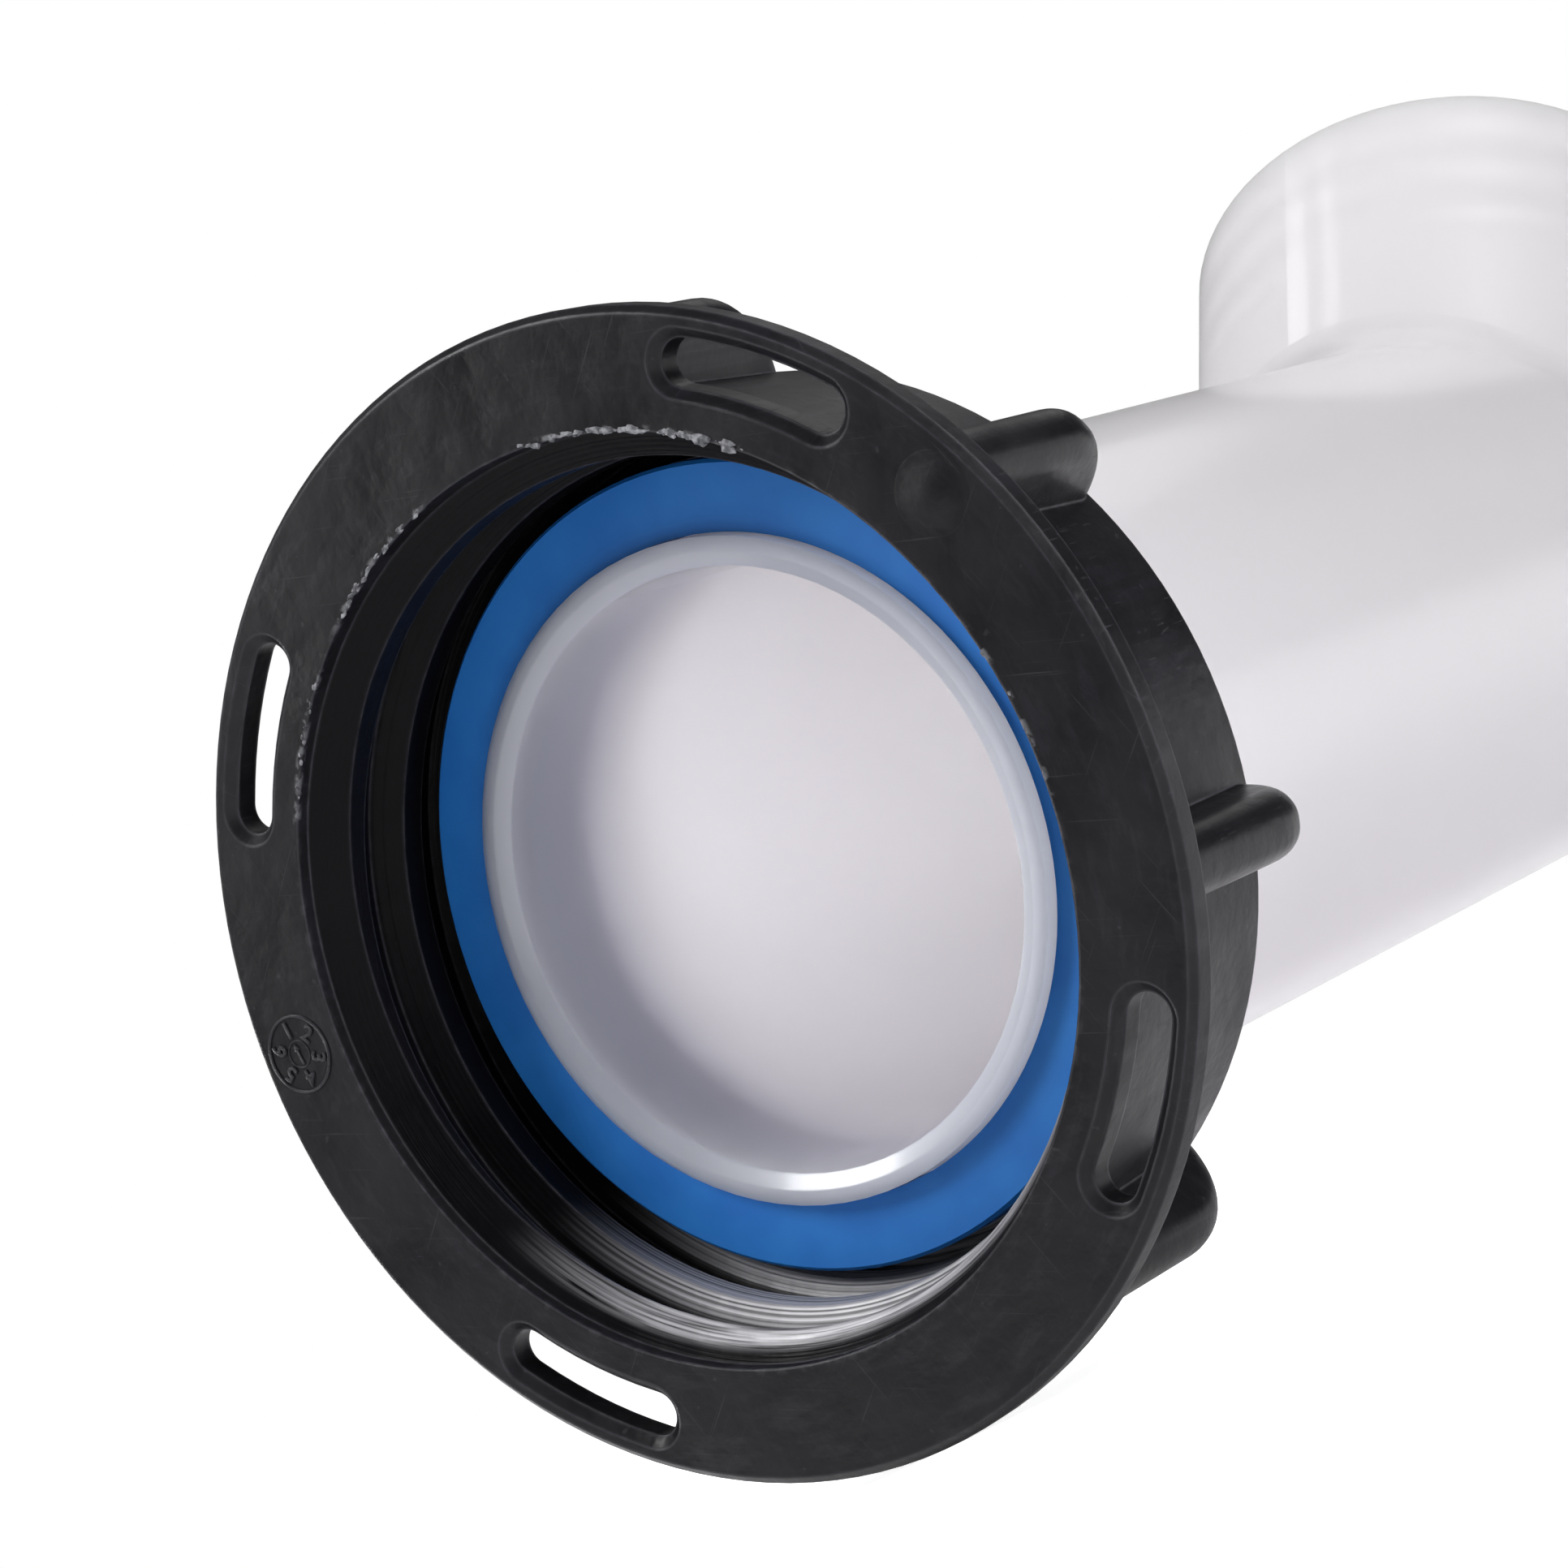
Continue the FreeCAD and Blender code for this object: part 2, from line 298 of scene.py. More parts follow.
    # Turned lines on the thread that climb with it
    turns = add_node(tree, "ShaderNodeMath", {"operation": "MULTIPLY_ADD"}, {
        0: angle, 1: THREAD_PITCH_MM / math.tau, 2: y}).outputs[0]
    inside = add_node(tree, "ShaderNodeMath", {"operation": "SUBTRACT"}, {0: 1.0, 1: outside}).outputs[0]
    past_lead = add_node(tree, "ShaderNodeMapRange", {"interpolation_type": "SMOOTHSTEP"}, {
        "Value": y, "From Min": THREAD_FIRST_MM - 0.2, "From Max": THREAD_FIRST_MM + 0.2}).outputs[0]
    threaded = add_node(tree, "ShaderNodeMath", {"operation": "MULTIPLY"}, {
        0: inside, 1: past_lead}).outputs[0]
    section = add_node(tree, "ShaderNodeCombineXYZ", None, {0: turns, 1: radius}).outputs[0]
    section_noise = add_node(tree, "ShaderNodeTexNoise", {"noise_dimensions": "2D"}, {
        "Vector": section, "Scale": 1 / TURNED_LINE_MM, "Detail": 2.0}).outputs[0]
    turned = add_node(tree, "ShaderNodeMath", {"operation": "MULTIPLY"}, {
        0: section_noise, 1: threaded}).outputs[0]

    # Painted highlight: the lower side of the thread is painted bright along those lines, and shines more
    # there
    low_side = add_node(tree, "ShaderNodeMapRange", {"interpolation_type": "SMOOTHSTEP"}, {
        "Value": z, "From Min": -12.0, "From Max": -27.0}).outputs[0]
    line_glint = add_node(tree, "ShaderNodeMapRange", None, {
        "Value": section_noise, "From Min": 0.22, "From Max": 0.62}).outputs[0]
    low_glint = add_node(tree, "ShaderNodeMath", {"operation": "MULTIPLY"}, {
        0: low_side, 1: line_glint}).outputs[0]
    on_ridge = add_node(tree, "ShaderNodeMapRange", {"interpolation_type": "SMOOTHSTEP"}, {
        "Value": radius, "From Min": MOUTH_RADIUS_MM - 0.5,
        "From Max": MOUTH_RADIUS_MM - 1.3}).outputs[0]
    ridge_glint = add_node(tree, "ShaderNodeMath", {"operation": "MULTIPLY"}, {
        0: low_glint, 1: on_ridge}).outputs[0]
    thread_highlight = add_node(tree, "ShaderNodeMath", {"operation": "MULTIPLY"}, {
        0: ridge_glint, 1: threaded}).outputs[0]

    # Torn pale edge of the mouth, strong in its torn stretches only, and broken up into chips
    edge_gap = add_node(tree, "ShaderNodeMath", {"operation": "SUBTRACT"}, {
        0: radius, 1: MOUTH_RADIUS_MM}).outputs[0]
    edge_dist = add_node(tree, "ShaderNodeMath", {"operation": "ABSOLUTE"}, {0: edge_gap}).outputs[0]
    near_edge = add_node(tree, "ShaderNodeMapRange", {"interpolation_type": "SMOOTHSTEP"}, {
        "Value": edge_dist, "From Min": 0.5, "From Max": 0.1}).outputs[0]
    near_face = add_node(tree, "ShaderNodeMapRange", {"interpolation_type": "SMOOTHSTEP"}, {
        "Value": y, "From Min": 0.5, "From Max": 0.1}).outputs[0]
    rim = add_node(tree, "ShaderNodeMath", {"operation": "MULTIPLY"}, {
        0: near_edge, 1: near_face}).outputs[0]
    stretches = 0.0
    for first, last in TORN_STRETCHES:
        middle = math.radians((first + last) / 2)
        half = math.radians((last - first) / 2)
        away = add_node(tree, "ShaderNodeMath", {"operation": "SUBTRACT"}, {
            0: angle, 1: middle}).outputs[0]
        gap = add_node(tree, "ShaderNodeMath", {"operation": "ABSOLUTE"}, {0: away}).outputs[0]
        stretch = add_node(tree, "ShaderNodeMapRange", {"interpolation_type": "SMOOTHSTEP"}, {
            "Value": gap, "From Min": half, "From Max": half * 0.7}).outputs[0]
        stretches = add_node(tree, "ShaderNodeMath", {"operation": "MAXIMUM"}, {
            0: stretches, 1: stretch}).outputs[0]
    tear = add_node(tree, "ShaderNodeMapRange", None, {
        "Value": stretches, "To Min": 0.04, "To Max": settings.torn_edge}).outputs[0]
    chips = add_node(tree, "ShaderNodeTexNoise", None, {
        "Vector": mm, "Scale": 1 / CHIP_MM, "Detail": 5.0}).outputs[0]
    torn = add_node(tree, "ShaderNodeMapRange", {"interpolation_type": "SMOOTHSTEP"}, {
        "Value": chips, "From Min": 0.5, "From Max": 0.62, "To Max": tear}).outputs[0]
    torn_rim = add_node(tree, "ShaderNodeMath", {"operation": "MULTIPLY"}, {0: rim, 1: torn}).outputs[0]

    # Rounded edges, worn grey: partly real wear, partly a painted highlight along the edges
    soft_edge = add_node(tree, "ShaderNodeBevel", {"samples": 4}, {
        "Radius": SOFT_EDGE_MM * MM}).outputs[0]
    face_way = add_node(tree, "ShaderNodeNewGeometry").outputs["Normal"]
    alike = add_node(tree, "ShaderNodeVectorMath", {"operation": "DOT_PRODUCT"}, {
        0: soft_edge, 1: face_way}).outputs["Value"]
    edges = add_node(tree, "ShaderNodeMapRange", {"interpolation_type": "SMOOTHSTEP"}, {
        "Value": alike, "From Min": 0.99, "From Max": 0.88, "To Max": settings.edge_wear_and_glint}).outputs[0]
    edge_wear_and_glint = add_node(tree, "ShaderNodeMath", {"operation": "MULTIPLY"}, {
        0: edges, 1: chips}).outputs[0]

    open_flow = add_node(tree, "ShaderNodeMath", {"operation": "MULTIPLY"}, {
        0: flow, 1: outside}).outputs[0]
    flowed = add_node(tree, "ShaderNodeMix", {"data_type": "RGBA"}, {
        "Factor": open_flow, 6: settings.colour, 7: settings.flow_colour}).outputs[2]
    smudged = add_node(tree, "ShaderNodeMix", {"data_type": "RGBA"}, {
        "Factor": smudges, 6: flowed, 7: settings.smudge_colour}).outputs[2]
    base = add_node(tree, "ShaderNodeMix", {"data_type": "RGBA"}, {
        "Factor": edge_wear_and_glint, 6: smudged, 7: settings.edge_wear_and_glint_colour}).outputs[2]
    marks = add_node(tree, "ShaderNodeMath", {"operation": "MAXIMUM"}, {0: scuffs, 1: specks}).outputs[0]
    open_face = add_node(tree, "ShaderNodeMath", {"operation": "MULTIPLY"}, {
        0: outside, 1: settings.scuffs}).outputs[0]
    scuffed = add_node(tree, "ShaderNodeMath", {"operation": "MULTIPLY"}, {
        0: marks, 1: open_face}).outputs[0]
    worn = add_node(tree, "ShaderNodeMix", {"data_type": "RGBA"}, {
        "Factor": scuffed, 6: base, 7: settings.scuff_colour}).outputs[2]
    # Painted highlight on the thread's lower side
    thread_highlighted = add_node(tree, "ShaderNodeMix", {"data_type": "RGBA"}, {
        "Factor": thread_highlight, 6: worn, 7: settings.thread_highlight_colour}).outputs[2]
    colour = add_node(tree, "ShaderNodeMix", {"data_type": "RGBA"}, {
        "Factor": torn_rim, 6: thread_highlighted, 7: settings.torn_colour}).outputs[2]

    sheen = add_node(tree, "ShaderNodeMapRange", None, {
        "Value": flow, "From Min": 0.3, "From Max": 0.7,
        "To Min": settings.roughness - 0.1, "To Max": settings.roughness + 0.1}).outputs[0]
    dulled = add_node(tree, "ShaderNodeMath", {"operation": "MULTIPLY_ADD"}, {
        0: scuffs, 1: 0.12, 2: sheen}).outputs[0]
    uneven = add_node(tree, "ShaderNodeMath", {"operation": "MULTIPLY_ADD"}, {
        0: smudges, 1: -0.12, 2: dulled}).outputs[0]

    grain_bump = add_node(tree, "ShaderNodeBump", None, {
        "Height": grain, "Strength": 0.25, "Distance": 0.02 * MM, "Normal": soft_edge}).outputs[0]
    flow_bump = add_node(tree, "ShaderNodeBump", None, {
        "Height": flow, "Strength": 0.6, "Distance": 0.6 * MM, "Normal": grain_bump}).outputs[0]
    turned_bump = add_node(tree, "ShaderNodeBump", None, {
        "Height": turned, "Strength": 0.7, "Distance": 0.05 * MM, "Normal": flow_bump}).outputs[0]
    torn_bump = add_node(tree, "ShaderNodeBump", None, {
        "Height": torn_rim, "Strength": 0.8, "Distance": 0.15 * MM, "Normal": turned_bump}).outputs[0]

    run = add_node(tree, "ShaderNodeTangent", {"direction_type": "RADIAL", "axis": "Y"}).outputs[0]
    brushed = add_node(tree, "ShaderNodeMath", {"operation": "MULTIPLY"}, {0: thread_highlight, 1: 0.7}).outputs[0]
    moulded = add_node(tree, "ShaderNodeMapRange", None, {
        "Value": outside, "To Min": settings.reflection * 0.3, "To Max": settings.reflection}).outputs[0]
    shine = add_node(tree, "ShaderNodeMapRange", None, {
        "Value": thread_highlight, "To Min": moulded, "To Max": 1.0}).outputs[0]
    shader = add_node(tree, "ShaderNodeBsdfPrincipled", None, {
        "Base Color": colour, "Roughness": uneven, "IOR": POLYETHYLENE_IOR, "Specular IOR Level": shine,
        "Anisotropic": brushed, "Anisotropic Rotation": 0.25, "Tangent": run, "Normal": torn_bump})
    add_node(tree, "ShaderNodeOutputMaterial", None, {"Surface": shader.outputs[0]})
    return material


def torn_polyethylene(settings):
    """Black HDPE, torn: stretched thin it turns pale and rough, and stays darker where it is thick."""
    material, tree = new_material("Torn black polyethylene")
    mm = place_in_mm(tree)
    stretch = add_node(tree, "ShaderNodeTexNoise", None, {
        "Vector": mm, "Scale": 1 / TEAR_MM, "Detail": 3.0}).outputs[0]
    amount = add_node(tree, "ShaderNodeMapRange", None, {
        "Value": stretch, "From Min": 0.42, "From Max": 0.72}).outputs[0]
    colour = add_node(tree, "ShaderNodeMix", {"data_type": "RGBA"}, {
        "Factor": amount, 6: settings.scuff_colour, 7: settings.torn_colour}).outputs[2]
    shader = add_node(tree, "ShaderNodeBsdfPrincipled", None, {
        "Base Color": colour, "Roughness": 0.6, "IOR": POLYETHYLENE_IOR})
    add_node(tree, "ShaderNodeOutputMaterial", None, {"Surface": shader.outputs[0]})
    return material


def blue_gasket_rubber(settings):
    """Blue nitrile-like rubber, cut from sheet: dead matt, with a faint cloudy bloom."""
    material, tree = new_material("Cut blue rubber")
    mm = place_in_mm(tree)
    bloom = add_node(tree, "ShaderNodeTexNoise", None, {
        "Vector": mm, "Scale": 1 / BLOOM_MM, "Detail": 4.0}).outputs[0]
    grain = add_node(tree, "ShaderNodeTexNoise", None, {
        "Vector": mm, "Scale": 1 / RUBBER_GRAIN_MM, "Detail": 3.0}).outputs[0]
    amount = add_node(tree, "ShaderNodeMapRange", None, {
        "Value": bloom, "From Min": 0.35, "From Max": 0.7}).outputs[0]
    colour = add_node(tree, "ShaderNodeMix", {"data_type": "RGBA"}, {
        "Factor": amount, 6: settings.colour, 7: settings.bloom_colour}).outputs[2]
    bump = add_node(tree, "ShaderNodeBump", None, {
        "Height": grain, "Strength": 0.3, "Distance": 0.02 * MM}).outputs[0]
    shader = add_node(tree, "ShaderNodeBsdfPrincipled", None, {
        "Base Color": colour, "Roughness": settings.roughness, "IOR": RUBBER_IOR, "Normal": bump})
    add_node(tree, "ShaderNodeOutputMaterial", None, {"Surface": shader.outputs[0]})
    return material


def natural_polyethylene(settings):
    """Natural HDPE, moulded: milky white and waxy, and light goes through its wall.

    So the tube glows where light falls on its other side. Where the black nut covers it, the colour is
    painted dull and bluish: painted shade of the nut and painted reflection of the blue gasket. Faint
    rings cross the leg near its end.
    """
    material, tree = new_material("Moulded natural polyethylene")
    mm = place_in_mm(tree)
    haze = add_node(tree, "ShaderNodeTexNoise", None, {
        "Vector": mm, "Scale": 1 / HAZE_MM, "Detail": 2.0}).outputs[0]
    milky = add_node(tree, "ShaderNodeMix", {"data_type": "RGBA"}, {
        "Factor": haze, 6: settings.colour, 7: settings.haze_colour}).outputs[2]
    # Painted shade and painted blue reflection: the colour turns duller and bluish over the part the nut
    # covers
    depth = add_node(tree, "ShaderNodeSeparateXYZ", None, {0: mm}).outputs[1]
    painted_nut_shade = add_node(tree, "ShaderNodeMapRange", {"interpolation_type": "SMOOTHSTEP"}, {
        "Value": depth, "From Min": NUT_HIGH.y / MM + 6.0, "From Max": NUT_HIGH.y / MM - 8.0}).outputs[0]
    colour = add_node(tree, "ShaderNodeMix", {"data_type": "RGBA"}, {
        "Factor": painted_nut_shade, 6: milky, 7: settings.painted_nut_shade_colour}).outputs[2]

    # Rings along the leg, only over its last 17 mm
    from_bend = add_node(tree, "ShaderNodeVectorMath", {"operation": "SUBTRACT"}, {
        0: mm, 1: BEND_CENTRE_MM}).outputs[0]
    along_leg = add_node(tree, "ShaderNodeVectorMath", {"operation": "DOT_PRODUCT"}, {
        0: from_bend, 1: LEG_AXIS}).outputs["Value"]
    wave = add_node(tree, "ShaderNodeMath", {"operation": "MULTIPLY"}, {
        0: along_leg, 1: math.tau / LEG_RING_STEP_MM}).outputs[0]
    ring = add_node(tree, "ShaderNodeMath", {"operation": "SINE"}, {0: wave}).outputs[0]
    reach = add_node(tree, "ShaderNodeMapRange", {"interpolation_type": "SMOOTHSTEP"}, {
        "Value": along_leg, "From Min": 20.0, "From Max": 25.0}).outputs[0]
    rings = add_node(tree, "ShaderNodeMath", {"operation": "MULTIPLY"}, {0: ring, 1: reach}).outputs[0]

    soft_edge = add_node(tree, "ShaderNodeBevel", {"samples": 4}, {
        "Radius": SOFT_EDGE_MM * MM}).outputs[0]
    ring_bump = add_node(tree, "ShaderNodeBump", None, {
        "Height": rings, "Strength": 0.7, "Distance": 0.1 * MM, "Normal": soft_edge}).outputs[0]
    haze_bump = add_node(tree, "ShaderNodeBump", None, {
        "Height": haze, "Strength": 0.3, "Distance": 0.5 * MM, "Normal": ring_bump}).outputs[0]

    shader = add_node(tree, "ShaderNodeBsdfPrincipled", {"subsurface_method": "RANDOM_WALK"}, {
        "Base Color": colour, "Roughness": settings.roughness, "IOR": POLYETHYLENE_IOR,
        "Normal": haze_bump, "Subsurface Weight": 1.0, "Subsurface Radius": (1.0, 1.0, 1.0),
        "Subsurface Scale": settings.light_depth, "Coat Weight": settings.wax,
        "Coat Roughness": settings.wax_roughness})
    add_node(tree, "ShaderNodeOutputMaterial", None, {"Surface": shader.outputs[0]})
    return material


def plain_backdrop(name, settings):
    """Painted board: plain and pale, and seen as clean white where no shadow falls on it."""
    material, tree = new_material(name)
    path, seen = light_path(tree)
    lifted = add_node(tree, "ShaderNodeMath", {"operation": "MULTIPLY"}, {
        0: seen, 1: settings.floor_lift}).outputs[0]
    glow = add_node(tree, "ShaderNodeMath", {"operation": "MULTIPLY_ADD"}, {
        0: path.outputs["Is Glossy Ray"], 1: settings.floor_sheen, 2: lifted}).outputs[0]
    light = add_node(tree, "ShaderNodeEmission", None, {
        "Color": linear("FFFFFF"), "Strength": glow}).outputs[0]
    paint = add_node(tree, "ShaderNodeBsdfDiffuse", None, {"Color": settings.floor_colour}).outputs[0]
    both = add_node(tree, "ShaderNodeAddShader", None, {0: paint, 1: light}).outputs[0]
    add_node(tree, "ShaderNodeOutputMaterial", None, {"Surface": both})
    return material


class NutSettings(bpy.types.PropertyGroup):
    colour: colour_setting("Colour", "Black of the nut", "0B0A0D")
    flow_colour: colour_setting("Flow mark colour", "Paler flow marks of the melt", "17161B")
    smudge_colour: colour_setting("Smudge colour", "Smudges round the flange", "29282E")
    # Partly edge wear, partly a painted highlight along the edges
    edge_wear_and_glint_colour: colour_setting("Edge colour", "Edges worn grey, with a painted highlight", "7C7C84")
    scuff_colour: colour_setting("Scuff colour", "Scuffed plastic", "4A4B50")
    # Painted highlight: colour of the thread's lower side, where the light above glints on the turned
    # lines
    thread_highlight_colour: colour_setting("Thread highlight colour", "Painted highlight on the thread's lower side", "BBBABF")
    torn_colour: colour_setting("Torn edge colour", "Torn, stretched plastic", "A4A5AA")
    roughness: FloatProperty(name="Roughness", description="Roughness of the moulded face", default=0.38,
                             min=0.0, max=1.0)
    reflection: FloatProperty(name="Reflection", description="Strength of the mirror part of the sheen",
                              default=0.24, min=0.0, max=1.0)
    scuffs: FloatProperty(name="Scuffs", description="How strongly scuffs show", default=0.22,
                          min=0.0, max=1.0, subtype="FACTOR")
    smudges: FloatProperty(name="Smudges", description="How strongly smudges show on the flange",
                           default=0.5, min=0.0, max=1.0, subtype="FACTOR")
    # Strength of the grey edges: partly wear, partly a painted highlight
    edge_wear_and_glint: FloatProperty(name="Edge wear and glint", description="How grey and highlighted the edges are", default=0.6,
                             min=0.0, max=1.0, subtype="FACTOR")
    torn_edge: FloatProperty(name="Torn edge", description="How pale the mouth's edge is where torn",
                             default=0.35, min=0.0, max=1.0, subtype="FACTOR")


class MouldMarkSettings(bpy.types.PropertyGroup):
    dial_radius: FloatProperty(name="Dial radius", description="Radius of the ring round the numbers",
                               default=2.65 * MM, min=0.0, unit="LENGTH")
    pointer_length: FloatProperty(name="Pointer length", description="Length of the dial's pointer",
                                  default=1.5 * MM, min=0.0, unit="LENGTH")
    number_size: FloatProperty(name="Number size", description="Height of a line of the dial's numbers",
                               default=1.7 * MM, min=0.0, unit="LENGTH")
    numbers: IntProperty(name="Numbers", description="How many plain numbers stand round the dial",
                         default=6, min=0, max=12)
    dial_place: FloatProperty(name="Dial place", description="Angle of the dial about the tube axis",
                              default=math.radians(172.0), subtype="ANGLE")
    dial_reach: FloatProperty(name="Dial reach", description="Distance of the dial from the tube axis",
                              default=33.9 * MM, min=0.0, unit="LENGTH")
    line: FloatProperty(name="Line width", description="Width of the dial's ring",
                        default=0.18 * MM, min=0.0, unit="LENGTH")
    raised: FloatProperty(name="Raised", description="Height of the marks above the flange",
                          default=0.12 * MM, min=0.0, unit="LENGTH")
    lump_radius: FloatProperty(name="Lump radius", description="Radius of the low lump on the flange",
                               default=2.6 * MM, min=0.0, unit="LENGTH")
    lump_height: FloatProperty(name="Lump height", description="Height of the low lump on the flange",
                               default=0.26 * MM, min=0.0, unit="LENGTH")
    lump_place: FloatProperty(name="Lump place", description="Angle of the lump about the tube axis",
                              default=math.radians(21.0), subtype="ANGLE")
    lump_reach: FloatProperty(name="Lump reach", description="Distance of the lump from the tube axis",
                              default=34.3 * MM, min=0.0, unit="LENGTH")


class FlashSettings(bpy.types.PropertyGroup):
    crumbs: IntProperty(name="Crumbs", description="How many torn crumbs hang on the mouth's edge",
                        default=130, min=0)
    longest: FloatProperty(name="Longest crumb", description="Length of the longest crumb",
                           default=1.35 * MM, min=0.0, unit="LENGTH")
    seed: IntProperty(name="Seed", description="Chance pattern of the crumbs", default=5, min=0)


class GasketSettings(bpy.types.PropertyGroup):
    colour: colour_setting("Colour", "Blue of the rubber", "1272CC")
    bloom_colour: colour_setting("Bloom colour", "Paler cloudy bloom", "1E7ED6")
    roughness: FloatProperty(name="Roughness", description="Roughness of the cut rubber", default=0.6,
                             min=0.0, max=1.0)


class SpoutSettings(bpy.types.PropertyGroup):
    colour: colour_setting("Colour", "Milky white", "F5EDF6")
    haze_colour: colour_setting("Haze colour", "Second white of the haze", "F2E9F3")
    # Painted shade of the nut and painted reflection of the blue gasket, over the part the nut covers
    painted_nut_shade_colour: colour_setting("Nut shade colour", "Painted shade and blue reflection where the nut covers the tube", "CCD2EE")
    roughness: FloatProperty(name="Roughness", description="Roughness of the waxy face", default=0.36,
                             min=0.0, max=1.0)
    wax: FloatProperty(name="Wax", description="How much the moulded skin shines over the milky plastic",
                       default=0.6, min=0.0, max=1.0, subtype="FACTOR")
    wax_roughness: FloatProperty(name="Wax roughness", description="Roughness of the skin's shine",
                                 default=0.13, min=0.0, max=1.0)
    light_depth: FloatProperty(name="Light depth", description="How far light goes into the plastic",
                               default=16.0 * MM, min=0.0, unit="LENGTH")


class StageSettings(bpy.types.PropertyGroup):
    floor_size: FloatProperty(name="Floor size", description="Width of the square floor", default=6.0,
                              min=1.0, unit="LENGTH")
    floor_colour: colour_setting("Floor colour", "Pale paint of the floor", "E6E6E8")
    floor_lift: FloatProperty(name="Floor lift", description="How far the floor's shadows are washed out",
                              default=0.88, min=0.0)
    floor_sheen: FloatProperty(name="Floor sheen", description="Strength of that lift in reflections",
                               default=0.35, min=0.0)
    air_light: FloatProperty(name="Air light", description="Strength of the light from all round",
                             default=0.26, min=0.0)
    air_sheen: FloatProperty(name="Air sheen", description="Strength of the surroundings in reflections",
                             default=0.1, min=0.0)
    dark_side: FloatProperty(name="Dark side", description="How much darker the room is on the right",
                             default=0.9, min=0.0, max=1.0, subtype="FACTOR")
    lens: FloatProperty(name="Lens", description="Focal length in millimetres on a 36 mm sensor",
                        default=91.17, min=10.0)
    eye: FloatVectorProperty(name="Camera place", description="Where the camera stands", size=3,
                             default=(0.15424, -0.1933, -0.0234), subtype="TRANSLATION", unit="LENGTH")
    tilt: FloatVectorProperty(name="Camera tilt", description="Camera turn about X, Y and Z", size=3,
                              default=tuple(math.radians(a) for a in (96.992, 27.717, 39.45)),
                              subtype="EULER")


class ADAPTER_OT_stage(bpy.types.Operator):
    """Pale floor, world light, softboxes and the camera"""
    bl_idname = "adapter.stage"
    bl_label = "Studio stage"

    def execute(self, context):
        settings = context.scene.adapter_stage
        half = settings.floor_size / 2
        mesh = bpy.data.meshes.new("floor")
        corners = [(-half, -half, 0), (half, -half, 0), (half, half, 0), (-half, half, 0)]
        mesh.from_pydata(corners, [], [(0, 1, 2, 3)])
        floor = bpy.data.objects.new("floor", mesh)
        floor.location.z = NUT_LOW.z
        floor.data.materials.append(plain_backdrop("Painted floor board", settings))
        context.scene.collection.objects.link(floor)

        world = bpy.data.worlds.new("Studio")
        world.use_nodes = True
        tree = world.node_tree
        tree.nodes.clear()
        path, seen = light_path(tree)
        unseen = add_node(tree, "ShaderNodeMapRange", None, {
            "Value": path.outputs["Is Glossy Ray"],
            "To Min": settings.air_light, "To Max": settings.air_sheen}).outputs[0]
        way = add_node(tree, "ShaderNodeTexCoord").outputs["Generated"]
        side = add_node(tree, "ShaderNodeSeparateXYZ", None, {0: way}).outputs[0]
        flagged = add_node(tree, "ShaderNodeMapRange", None, {
            "Value": side, "From Min": -1.0, "From Max": 1.0,
            "To Min": 1.0 + settings.dark_side, "To Max": 1.0 - settings.dark_side}).outputs[0]
        shaped = add_node(tree, "ShaderNodeMath", {"operation": "MULTIPLY"}, {
            0: unseen, 1: flagged}).outputs[0]
        strength = add_node(tree, "ShaderNodeMapRange", None, {
            "Value": seen, "To Min": shaped, "To Max": 1.0}).outputs[0]
        air = add_node(tree, "ShaderNodeBackground", None, {
            "Color": linear("FFFFFF"), "Strength": strength})
        add_node(tree, "ShaderNodeOutputWorld", None, {"Surface": air.outputs[0]})
        context.scene.world = world

        # name, where it stands, where it points, size, spread in degrees, watts
        boxes = (
            ("front_left_softbox", (-0.22, -0.24, 0.37), (0.0, 0.0, 0.0), 0.20, 180, 1.7),
            ("flange_sheen", (-0.40, -0.31, 0.17), (0.0, 0.0, 0.01), 0.12, 180, 0.2),
            ("left_window_pane", (-0.205, 0.175, 0.535), (0.0, 0.11, 0.02), 0.05, 180, 0.03),
            ("right_window_pane", (-0.105, 0.145, 0.565), (0.0, 0.11, 0.02), 0.05, 180, 0.022),
            ("tube_backlight", (-0.45, 0.06, 0.04), (0.0, 0.045, 0.0), 0.16, 28, 0.052),
            ("right_softbox", (0.50, 0.02, 0.42), (0.0, 0.08, 0.0), 0.45, 180, 1.9),
            ("low_right_softbox", (0.52, -0.03, 0.03), (0.0, 0.08, -0.01), 0.30, 180, 1.45),
            ("outlet_softbox", (0.05, 0.50, 0.45), (0.0, 0.12, 0.0), 0.35, 180, 0.25),
        )
        for name, where, target, size, spread, watts in boxes:
            lamp = bpy.data.lights.new(name, "AREA")
            lamp.shape = "SQUARE"
            lamp.size = size
            lamp.spread = math.radians(spread)
            lamp.energy = watts
            box = bpy.data.objects.new(name, lamp)
            box.location = where
            box.rotation_euler = (Vector(target) - box.location).to_track_quat("-Z", "Y").to_euler()
            context.scene.collection.objects.link(box)

        lens = bpy.data.cameras.new("camera")
        lens.lens = settings.lens
        lens.sensor_width = 36.0
        lens.clip_start = 0.01
        camera = bpy.data.objects.new("camera", lens)
        camera.location = settings.eye
        camera.rotation_euler = settings.tilt
        context.scene.collection.objects.link(camera)
        context.scene.camera = camera
        context.scene.view_settings.view_transform = "Standard"
        return {"FINISHED"}


class ADAPTER_OT_union_nut(bpy.types.Operator):
    """Finish of the union nut"""
    bl_idname = "adapter.union_nut"
    bl_label = "Union nut"

    def execute(self, context):
        dress("union_nut", moulded_black_polyethylene(context.scene.adapter_nut))
        return {"FINISHED"}


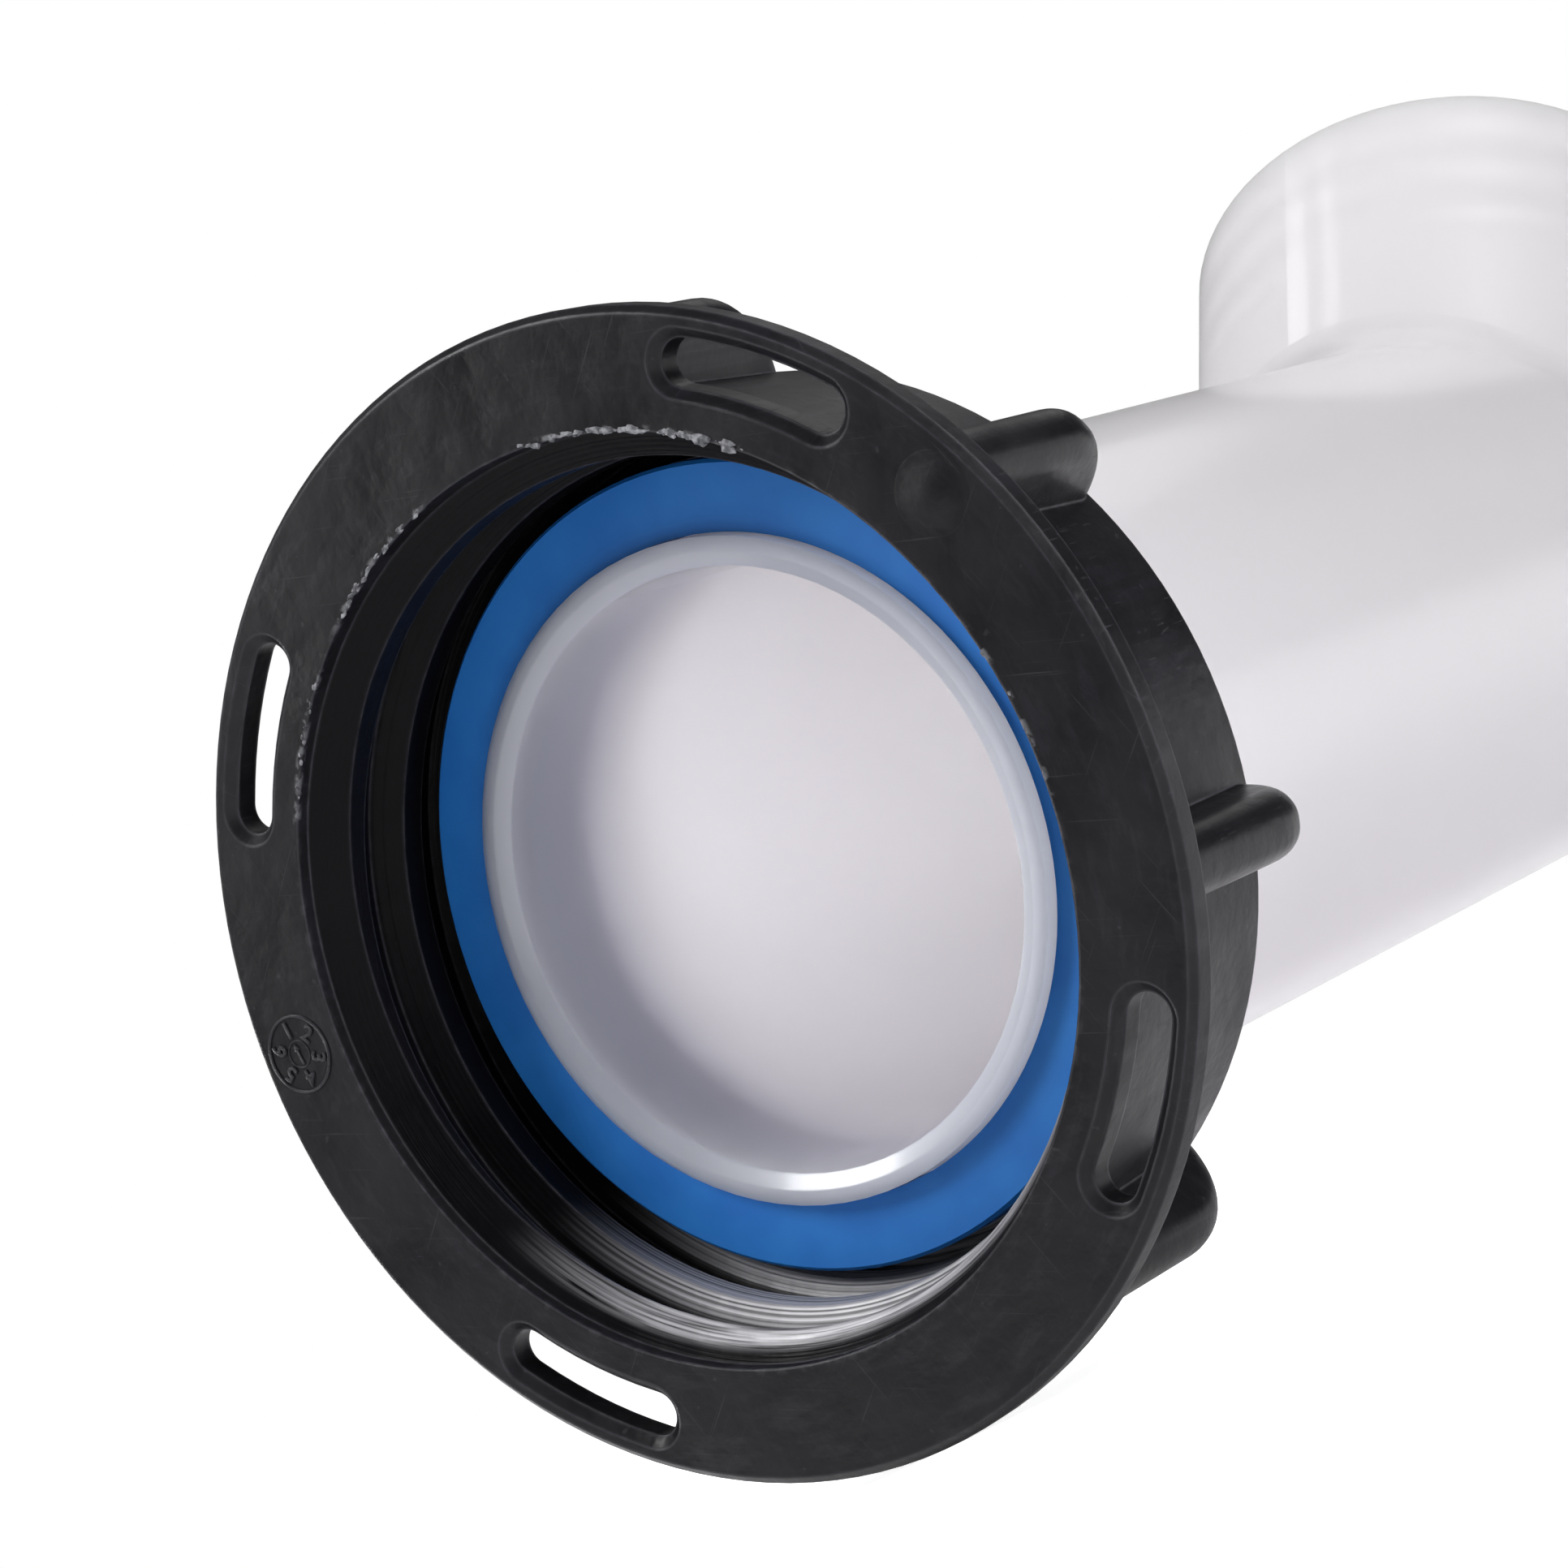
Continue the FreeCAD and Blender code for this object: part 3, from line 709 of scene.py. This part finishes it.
class ADAPTER_OT_mould_marks(bpy.types.Operator):
    """Plain numbered dial and a small lump on the nut's flange"""
    bl_idname = "adapter.mould_marks"
    bl_label = "Mould marks"

    def execute(self, context):
        settings = context.scene.adapter_marks
        plastic = bpy.data.materials.get("Moulded black polyethylene")
        if plastic is None:
            raise RuntimeError("The union nut gets its finish before its mould marks")
        dial = bmesh.new()
        raised_ring(dial, settings.dial_radius, settings.line, settings.raised)
        raised_ring(dial, settings.pointer_length * INNER_RING, settings.line / 2, settings.raised / 2)
        raised_pointer(dial, settings.pointer_length, settings.raised)
        ring = mesh_object(context, "mould_dial", dial, plastic)
        place = on_flange(settings.dial_reach / MM, settings.dial_place)
        upright = Matrix.Rotation(math.radians(90), 4, "X")
        ring.matrix_world = Matrix.Translation(place) @ upright
        for i in range(settings.numbers):
            turn = math.tau * i / settings.numbers
            text = bpy.data.curves.new("dial_number", "FONT")
            text.body = str(i + 1)
            text.size = settings.number_size
            text.extrude = settings.raised / 2
            text.offset = settings.line / 5
            text.align_x = "CENTER"
            text.align_y = "CENTER"
            text.materials.append(plastic)
            number = bpy.data.objects.new("dial_number_" + text.body, text)
            out = (settings.dial_radius + settings.pointer_length / 2) / 2
            context.scene.collection.objects.link(number)
            number.parent = ring
            number.location = (out * math.sin(turn), out * math.cos(turn), settings.raised / 2)
            number.rotation_euler.z = -turn
        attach(ring, "nut")

        lump = bmesh.new()
        low_lump(lump, settings.lump_radius, settings.lump_height)
        bump = mesh_object(context, "flange_lump", lump, plastic)
        place = on_flange(settings.lump_reach / MM, settings.lump_place)
        bump.matrix_world = Matrix.Translation(place) @ upright
        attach(bump, "nut")
        return {"FINISHED"}


class ADAPTER_OT_torn_flash(bpy.types.Operator):
    """Pale torn crumbs left on the mouth's edge"""
    bl_idname = "adapter.torn_flash"
    bl_label = "Torn flash"

    def execute(self, context):
        settings = context.scene.adapter_flash
        chance = random.Random(settings.seed)
        crumbs = bmesh.new()
        for _ in range(settings.crumbs):
            stretch = chance.choices(range(len(TORN_STRETCHES)), TORN_SHARES)[0]
            # The power makes small crumbs the common ones
            size = settings.longest * TORN_SIZES[stretch] * chance.uniform(0.3, 1.0) ** 1.5
            angle = chance.triangular(*TORN_STRETCHES[stretch])
            length = size * chance.uniform(0.7, 1.2)
            width = size * chance.uniform(0.25, 0.6)
            place = on_flange(MOUTH_RADIUS_MM + chance.uniform(-0.1, 0.25), math.radians(angle))
            crumb = bmesh.ops.create_icosphere(crumbs, subdivisions=1, radius=0.5)["verts"]
            along = Matrix.Rotation(math.radians(-angle + chance.uniform(-15, 15)), 4, "Y")
            sized = Matrix.Diagonal((width, width * 0.6, length, 1.0))
            for vert in crumb:
                vert.co *= chance.uniform(0.6, 1.25)
                vert.co = Matrix.Translation(place) @ along @ sized @ vert.co
        plastic = torn_polyethylene(context.scene.adapter_nut)
        flash = mesh_object(context, "torn_flash", crumbs, plastic)
        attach(flash, "nut")
        return {"FINISHED"}


class ADAPTER_OT_flat_gasket(bpy.types.Operator):
    """Finish of the flat gasket"""
    bl_idname = "adapter.flat_gasket"
    bl_label = "Flat gasket"

    def execute(self, context):
        dress("flat_gasket", blue_gasket_rubber(context.scene.adapter_gasket))
        return {"FINISHED"}


class ADAPTER_OT_spout(bpy.types.Operator):
    """Finish of the spout"""
    bl_idname = "adapter.spout"
    bl_label = "Spout"

    def execute(self, context):
        dress("spout", natural_polyethylene(context.scene.adapter_spout))
        return {"FINISHED"}


class ADAPTER_PT_pieces(bpy.types.Panel):
    """Pieces of the adapter and their settings"""
    bl_idname = "ADAPTER_PT_pieces"
    bl_label = "Tap adapter"
    bl_space_type = "VIEW_3D"
    bl_region_type = "UI"
    bl_category = "Tap adapter"

    def draw(self, context):
        for group, operators in GROUPS.items():
            box = self.layout.box()
            settings = getattr(context.scene, group)
            for name in settings.__annotations__:
                box.prop(settings, name)
            for operator in operators:
                box.operator(operator)


GROUPS = {
    "adapter_stage": ("adapter.stage",),
    "adapter_nut": ("adapter.union_nut",),
    "adapter_marks": ("adapter.mould_marks",),
    "adapter_flash": ("adapter.torn_flash",),
    "adapter_gasket": ("adapter.flat_gasket",),
    "adapter_spout": ("adapter.spout",),
}
SETTINGS = {
    "adapter_stage": StageSettings,
    "adapter_nut": NutSettings,
    "adapter_marks": MouldMarkSettings,
    "adapter_flash": FlashSettings,
    "adapter_gasket": GasketSettings,
    "adapter_spout": SpoutSettings,
}
CLASSES = tuple(SETTINGS.values()) + (
    ADAPTER_OT_stage,
    ADAPTER_OT_union_nut,
    ADAPTER_OT_mould_marks,
    ADAPTER_OT_torn_flash,
    ADAPTER_OT_flat_gasket,
    ADAPTER_OT_spout,
    ADAPTER_PT_pieces,
)


def register():
    for cls in CLASSES:
        bpy.utils.register_class(cls)
    for name, group in SETTINGS.items():
        setattr(bpy.types.Scene, name, PointerProperty(type=group))


def unregister():
    for name in SETTINGS:
        delattr(bpy.types.Scene, name)
    for cls in reversed(CLASSES):
        bpy.utils.unregister_class(cls)


def main():
    register()
    bpy.ops.adapter.stage()
    bpy.ops.adapter.union_nut()
    bpy.ops.adapter.mould_marks()
    bpy.ops.adapter.torn_flash()
    bpy.ops.adapter.flat_gasket()
    bpy.ops.adapter.spout()


if __name__ == "__main__":
    main()
